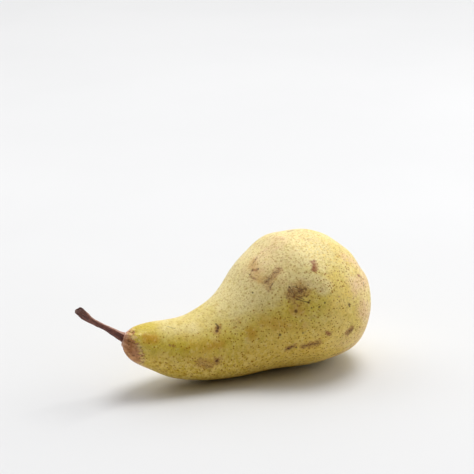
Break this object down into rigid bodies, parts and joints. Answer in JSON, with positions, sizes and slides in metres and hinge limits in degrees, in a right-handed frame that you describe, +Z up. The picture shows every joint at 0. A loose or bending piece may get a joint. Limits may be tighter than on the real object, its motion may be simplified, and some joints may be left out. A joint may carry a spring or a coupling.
{
  "type": "pear",
  "caption": "Whole long-necked pear lying on its side: curved neck, full rounded end with a calyx basin, woody stem seated in the neck.",
  "frame": {"origin": "on the surface the pear rests on, below the middle of the whole pear's box", "axes": "+X from the stem towards the rounded calyx end, +Z up; the bent core line of the fruit lies in the XZ plane"},
  "size_m": [0.1522, 0.0724, 0.0641],
  "materials": {
    "pear_skin": "waxy satin fruit skin, yellow-green with ochre russet and fine brown dots",
    "stem_wood": "dry, dark reddish-brown, ridged along its length",
    "calyx_dry": "dry, papery, dark brown"
  },
  "bodies": {
    "root": {"fruit": "pear_skin", "stem": "stem_wood", "calyx": "calyx_dry"}
  },
  "joints": []
}
